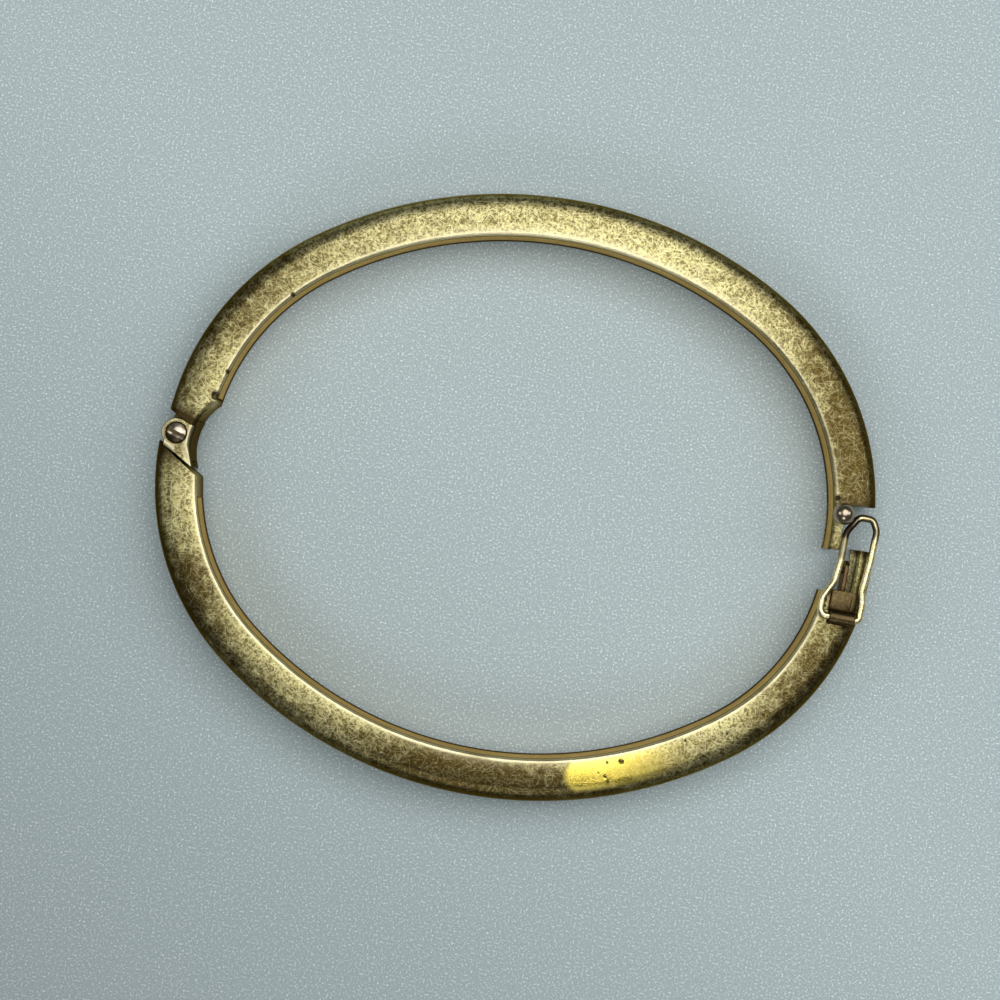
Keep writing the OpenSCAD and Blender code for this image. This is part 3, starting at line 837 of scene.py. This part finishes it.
def linerStrip(half):
    # Flat strip between the shell's lips; its edges waver a little, as cut by hand
    h, sheet, play = band["height"], band["sheet"] + 0.04, liner["play"]
    front, corner, back = liner["front"], liner["corner"], liner["back"]
    section = np.array([
        [front, sheet + play], [corner, sheet], [back, sheet],
        [back, h - sheet], [corner, h - sheet], [front, h - sheet - play],
        *[[front, v] for v in np.linspace(h - sheet - 0.25, sheet + 0.25, 13)],
    ])
    start = clasp["lap"] if half == "lower" else clasp["gap"] - clasp["lap"]
    x, y, z, _, _ = sweep(
        half, section, planeAngle(half, start), steady(liner["endAngle"]), np.linspace(0, 1, steps["liner"]))
    edge = np.abs(z - h / 2) / (h / 2)
    uneven = liner["waver"] * (1 + unevenness(x, y, "fine"))
    z = z - np.sign(z - h / 2) * uneven * smoothStep(0.5, 0.8, edge)
    # Faint blotches, and painted shade along both edges, where the liner meets the lips
    dirtAndShade = 0.12 * (1 + unevenness(x * 2, y * 2 + z, "broad")) / 2 + 0.9 * smoothStep(0.5, 0.66, edge)
    return surface(x, y, z), np.clip(dirtAndShade, 0, 1).ravel()


for half in ("upper", "lower"):
    strip, stripDirtAndShade = linerStrip(half)
    makePiece(
        half + "Liner", strip, half + "_half", linerBrass, (half + "_liner",),
        marks={"dirtAndShade": stripDirtAndShade})


# Hinge screw and safety ball

def spun(centre, profile, count):
    # (radius, height) turned about an upright axis, count points round it
    a = np.linspace(0, 2 * np.pi, count + 1)[None, :-1]
    r, z = profile[:, :1], profile[:, 1:]
    return np.stack(np.broadcast_arrays(centre[0] + r * np.cos(a), centre[1] + r * np.sin(a), z), axis=-1)


screw = {"head": 0.92, "base": 5.6, "rim": 5.92, "dome": 0.3, "shank": 0.5, "end": 0.56,
         "slotTurn": -21.0, "slotHalf": 0.13, "slotDeep": 0.3}


def screwPiece():
    # Domed head: height = rim + dome * (1 - (radius / head)^2); the slot is a trench across it. Painted shade
    # lies in the slot, the head is darker round the rim, and a painted dark reflection covers the head's
    # lower part
    rows = np.concatenate([np.linspace(0.015, 0.86, 60), [0.89, 0.91, screw["head"]]])
    dome = screw["rim"] + screw["dome"] * (1 - (rows / screw["head"]) ** 2)
    dome[-3:] -= [0.0, 0.02, 0.06]
    profile = np.vstack([
        np.stack([rows, dome], axis=1),
        [[screw["head"], screw["base"] + 0.02], [screw["head"] - 0.02, screw["base"]]],
        [[screw["shank"], screw["base"]], [screw["shank"], screw["end"]], [0.015, screw["end"] - 0.02]],
    ])
    grid = spun(hinge["pin"], profile, steps["screw"])
    x, y, z = grid[..., 0] - pinX, grid[..., 1] - pinY, grid[..., 2]
    t = math.radians(screw["slotTurn"])
    aside = -x * math.sin(t) + y * math.cos(t)
    trench = smoothStep(screw["slotHalf"] + 0.03, screw["slotHalf"], np.abs(aside)) * (z > 5.8)
    deep = np.maximum(z - (screw["rim"] + screw["dome"] - screw["slotDeep"]), 0)
    grid[..., 2] = z - deep * trench
    rim = smoothStep(0.8, screw["head"], np.hypot(x, y))
    # Painted shade in the slot, darker round the rim, painted dark reflection on the lower side
    dirtAndShade = np.clip(trench * 0.95 + rim * 0.5 + 0.93 * smoothStep(-0.3, -0.4, aside), 0, 1)
    return gridShell(grid), dirtAndShade.ravel()


screwShell, screwDirtAndShade = screwPiece()
makePiece(
    "hingeScrew", screwShell, "upper_half", screwSilver, ("hinge_screw",),
    marks={"dirtAndShade": screwDirtAndShade})

ball = {"at": (29.58, 1.25), "radius": 1.0, "height": 7.62, "neck": 0.16}


def ballPiece():
    # A ball of points (radius * cos b, height + radius * sin b) on a neck with a soft fillet
    b = np.radians(np.linspace(89, -72, 44))
    sphere = np.stack([ball["radius"] * np.cos(b), ball["height"] + ball["radius"] * np.sin(b)], axis=1)
    neck = np.array([[0.2, 6.64], [ball["neck"], 6.56], [ball["neck"], 5.6], [0.01, 5.52]])
    return gridShell(spun(ball["at"], np.vstack([sphere, neck]), steps["ball"]))


makePiece("safetyBall", ballPiece(), "upper_half", ballSilver, ("ball_stud",))


# Clasp: box, barrel, spring leaf, wire

def roundedPlate(xs, ys, zs, corner, bevel, axis="z"):
    # Outline of four quarter circles, carried through five levels with a small bevel at both faces
    (x0, x1), (y0, y1), (z0, z1) = xs, ys, zs
    corners = [
        ((x1 - corner, y1 - corner), 0), ((x0 + corner, y1 - corner), 90),
        ((x0 + corner, y0 + corner), 180), ((x1 - corner, y0 + corner), 270),
    ]
    bevelled = ((z0, bevel), (z0 + bevel, 0), (z1 - bevel, 0), (z1 - bevel * 0.3, bevel * 0.3), (z1, bevel))
    levels = []
    for z, inset in bevelled:
        ring = np.vstack([arcPoints(c, corner - inset, a, a + 90, 7) for c, a in corners])
        levels.append(np.column_stack([ring, np.full(len(ring), z)]))
    grid = np.array(levels)
    if axis == "x":
        grid = grid[..., [2, 0, 1]]
    return gridShell(grid)


def unit(v):
    return v / np.linalg.norm(v, axis=1, keepdims=True)


def tube(path, radii, sides):
    # Circle of radius radii[i] round each path point, in the plane of the mean of its two directions
    step = unit(np.diff(path, axis=0))
    ahead = unit(np.vstack([step[:1], step[:-1] + step[1:], step[-1:]]))
    side = unit(np.cross(ahead, np.array([0.0, 0.0, 1.0])))
    over = np.cross(side, ahead)
    a = np.linspace(0, 2 * np.pi, sides + 1)[:-1]
    circle = np.cos(a)[None, :, None] * side[:, None, :] + np.sin(a)[None, :, None] * over[:, None, :]
    return gridShell(path[:, None, :] + circle * np.asarray(radii)[:, None, None])


barrel = {"x": (29.97, 32.33), "y": -4.3, "z": 6.37, "outer": 0.68, "bore": 0.37, "rim": 0.06, "lip": 0.03,
          "sides": 72}


def barrelPiece():
    # Rolled sheet: rings of outer and bore radius along X, with rounded rims
    rim, lip, outer, bore = barrel["rim"], barrel["lip"], barrel["outer"], barrel["bore"]
    x0, x1 = barrel["x"]
    section = np.array([
        [x0, outer - rim], [x0 + rim, outer], [x1 - rim, outer], [x1, outer - rim],
        [x1, bore + lip], [x1 - lip, bore], [x0 + lip, bore], [x0, bore + lip],
    ])
    a = np.linspace(0, 2 * np.pi, barrel["sides"] + 1)[:-1, None]
    x, r = section[:, 0], section[:, 1]
    return surface(x, barrel["y"] + r * np.cos(a), barrel["z"] + r * np.sin(a), closeRows=True)


# Plug, box, lid, its ridge and the tab to the barrel: ranges in x, y and z, corner radius, bevel
boxPlates = [
    ((29.87, 31.5), (-3.72, -1.9), (0.62, 5.0), 0.12, 0.05),
    ((29.85, 31.66), (-3.72, -1.9), (4.7, 6.1), 0.12, 0.05),
    ((29.85, 32.1), (-3.66, -1.85), (6.04, 6.42), 0.28, 0.07),
    ((31.72, 31.95), (-3.6, -2.15), (6.3, 6.52), 0.1, 0.05),
    ((29.97, 32.08), (-4.35, -3.6), (6.04, 6.38), 0.1, 0.06),
]
boxShells = [roundedPlate(*plate) for plate in boxPlates] + [barrelPiece()]
makePiece("catchBox", joinShells(boxShells), "lower_half", boxBronze, ("catch_block",))

# Ranges in y, z and x, and the middle of the bead, which is half an egg
leaf = {"long": (-2.9, 0.95), "high": (1.6, 4.4), "thick": (30.88, 31.25), "corner": 0.7, "bevel": 0.04,
        "bead": (30.89, 0.05, 3.0), "beadRadius": 0.34, "beadOut": 0.26, "beadRings": 12, "beadSides": 36}


def leafPiece():
    # Leaf with a round tip, standing on edge, and a bead pressed out of its wrist side
    plate = roundedPlate(leaf["long"], leaf["high"], leaf["thick"], leaf["corner"], leaf["bevel"], axis="x")
    beadX, beadY, beadZ = leaf["bead"]
    b = np.radians(np.linspace(0, 89, leaf["beadRings"]))[:, None]
    a = np.linspace(0, 2 * np.pi, leaf["beadSides"] + 1)[None, :-1]
    x, r = beadX - leaf["beadOut"] * np.sin(b), leaf["beadRadius"] * np.cos(b)
    return joinShells([plate, surface(x, beadY + r * np.cos(a), beadZ + r * np.sin(a))])


makePiece("snapLeaf", leafPiece(), "lower_half", leafBrown, ("snap_tongue",))

# Corners of the catch's wire in mm: x, y, bend radius
wireCorners = [
    (30.8, -4.3, 0), (29.08, -4.3, 0.6), (29.08, -2.7, 1.2), (29.88, -1.05, 1.6), (30.1, 0.9, 4),
    (30.1, 3.5, 1.3), (31.05, 5.06, 0.75), (32.3, 5.06, 0.6), (32.82, 4.1, 1.2), (32.76, 1.2, 6),
    (32.5, -1.55, 2), (32.74, -2.8, 1.6), (32.7, -4.3, 0.36), (31.7, -4.3, 0),
]
# Bends are cut every "turn" degrees; the whole path gets about "points" even steps as well
wire = {"radius": 0.32, "z": 6.37, "turn": 5.0, "points": 260, "sides": 28, "waver": 0.02}


def bentPath(corners):
    # Straight runs joined by arcs, each of which starts radius * tan(half turn) before its corner
    p = np.array([c[:2] for c in corners], dtype=float)
    way = unit(np.diff(p, axis=0))
    path = [p[:1]]
    for i in range(1, len(p) - 1):
        a, b, r = way[i - 1], way[i], corners[i][2]
        turn = math.atan2(a[0] * b[1] - a[1] * b[0], a @ b)
        start = p[i] - a * r * math.tan(abs(turn) / 2)
        centre = start + np.array([-a[1], a[0]]) * r * math.copysign(1, turn)
        first = math.atan2(*(start - centre)[::-1])
        t = first + np.linspace(0, turn, max(3, int(abs(math.degrees(turn)) / wire["turn"]) + 2))
        path.append(centre + r * np.column_stack([np.cos(t), np.sin(t)]))
    path.append(p[-1:])
    flat = np.vstack(path)
    reach = np.concatenate([[0], np.cumsum(np.linalg.norm(np.diff(flat, axis=0), axis=1))])
    at = np.unique(np.concatenate([reach, np.linspace(0, reach[-1], wire["points"])]))
    at = at[np.concatenate([[True], np.diff(at) > 1e-4])]
    return np.column_stack([np.interp(at, reach, flat[:, 0]), np.interp(at, reach, flat[:, 1])])


wirePath = bentPath(wireCorners)
wireUneven = unevenness(wirePath[:, 0] * 3, wirePath[:, 1] * 3, "fine")
wireRadius = wire["radius"] * (1 - wire["waver"] * (1 + wireUneven))
wireShell = tube(np.column_stack([wirePath, np.full(len(wirePath), wire["z"])]), wireRadius, wire["sides"])
# Darker on all but the crest of the top bend; painted shade on the inner leg beside the ball and a little
# underneath
wireX, wireY, wireZ = wireShell[0].T
wireDark = 0.9 * smoothStep(2.6, 3.6, wireY) * smoothStep(6.692, 6.67, wireZ)
wireDark = wireDark + 0.6 * smoothStep(0.6, 1.4, wireY) * (wireX < 31) + 0.3 * smoothStep(6.3, 6.1, wireZ)
makePiece(
    "catchWire", wireShell, "catch", wireGold, ("safety_catch",),
    marks={"dirtAndShade": np.clip(wireDark, 0, 1)})

# The end plate keeps its own mesh and gets the dark metal
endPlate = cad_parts["end_plate"]
endPlate.data.materials.clear()
endPlate.data.materials.append(boxBronze)
print("pieces ready")


# Floor, light, camera

# The darkening towards the lower left is painted shade: its direction, where it starts and the share left at
# its darkest
floorLook = {
    "grain": 5200.0, "hollow": (0.42, 0.50, 0.51, 1), "paper": (0.49, 0.58, 0.59, 1),
    "sparkle": (0.9, 1.0, 1.0, 1), "shadeWay": (0.55, 0.835, 0), "shadeFrom": -0.085, "dull": 0.62,
    "roughness": 0.75, "bump": 0.25, "half": 1.2,
}


def paperFloor():
    # Fine grain with sparkling crests, and painted shade that darkens it towards the lower left of the
    # picture
    material = bpy.data.materials.new("paleFloor")
    add, link = nodeMaker(material)
    place = add("ShaderNodeTexCoord").outputs["Object"]
    grain = noise(add, place, floorLook["grain"], 2.0, 0.6)
    stops = [(0.34, floorLook["hollow"]), (0.56, floorLook["paper"]), (0.70, floorLook["sparkle"])]
    tone = ramp(add, link, grain, "Fac", stops)
    # Painted shade: the floor darkens along this direction
    along = add("ShaderNodeVectorMath", operation="DOT_PRODUCT")
    feed(along.inputs[0], place)
    feed(along.inputs[1], floorLook["shadeWay"])
    far = add("ShaderNodeMapRange", **{
        "From Min": floorLook["shadeFrom"], "From Max": 0.0, "To Min": floorLook["dull"], "To Max": 1.0})
    link(along, "Value", far, "Value")
    bump = add("ShaderNodeBump", Strength=floorLook["bump"], Distance=0.0001)
    link(grain, "Fac", bump, "Height")
    shader = add("ShaderNodeBsdfPrincipled", Roughness=floorLook["roughness"])
    feed(shader.inputs["Base Color"], mixColour(add, grey(0.0), tone, far.outputs["Result"]))
    link(bump, "Normal", shader, "Normal")
    link(shader, "BSDF", add("ShaderNodeOutputMaterial"), "Surface")
    mesh = bpy.data.meshes.new("floor")
    s = floorLook["half"]
    mesh.from_pydata([(-s, -s, 0), (s, -s, 0), (s, s, 0), (-s, s, 0)], [], [(0, 1, 2, 3)])
    mesh.materials.append(material)
    floor = bpy.data.objects.new("floor", mesh)
    scene.collection.objects.link(floor)


paperFloor()

# The camera looks straight down; its foot and height are in mm
view = {"turn": 10.74, "foot": (-1.48, -0.606), "height": 245.0, "lens": 94.18, "sensor": 36.0, "near": 0.01}
camera = bpy.data.objects.new("camera", bpy.data.cameras.new("camera"))
camera.data.lens = view["lens"]
camera.data.sensor_width = view["sensor"]
camera.data.clip_start = view["near"]
camera.location = (view["foot"][0] * mm, view["foot"][1] * mm, view["height"] * mm)
camera.rotation_euler = (0, 0, math.radians(view["turn"]))
scene.collection.objects.link(camera)
scene.camera = camera


def imageSpot(right, up, height):
    # Place given by distances to the right and up in the picture
    t = math.radians(view["turn"])
    return (right * math.cos(t) - up * math.sin(t), right * math.sin(t) + up * math.cos(t), height)


def softLight(name, spot, size, power, colour):
    # A round lamp that faces the bangle's middle
    light = bpy.data.lights.new(name, "AREA")
    light.shape = "DISK"
    light.size = size
    light.energy = power
    light.color = colour
    lamp = bpy.data.objects.new(name, light)
    lamp.location = spot
    x, y, z = spot
    lamp.rotation_euler = (math.atan2(math.hypot(x, y), z), 0, math.atan2(y, x) + math.pi / 2)
    scene.collection.objects.link(lamp)


# Name, place to the right, up the picture and above the floor in m, diameter in m, power, colour
lamps = [
    ("keyLight", (0.06, 0.09, 0.36), 0.40, 0.98, (1.0, 1.0, 0.99)),
    ("rightFill", (0.36, 0.05, 0.32), 0.20, 0.26, (0.97, 0.99, 1.0)),
    ("leftFill", (-0.36, 0.05, 0.32), 0.20, 0.26, (0.94, 0.98, 1.0)),
    ("frontFill", (-0.05, -0.36, 0.32), 0.20, 0.30, (0.95, 0.98, 1.0)),
]
for name, place, size, power, colour in lamps:
    softLight(name, imageSpot(*place), size, power, colour)

room = {"colour": (0.84, 0.90, 0.92, 1), "strength": 0.13}
world = bpy.data.worlds.new("room")
scene.world = world
world.use_nodes = True
background = world.node_tree.nodes["Background"]
feed(background.inputs["Color"], room["colour"])
feed(background.inputs["Strength"], room["strength"])
scene.view_settings.view_transform = "Standard"
print("stage ready")
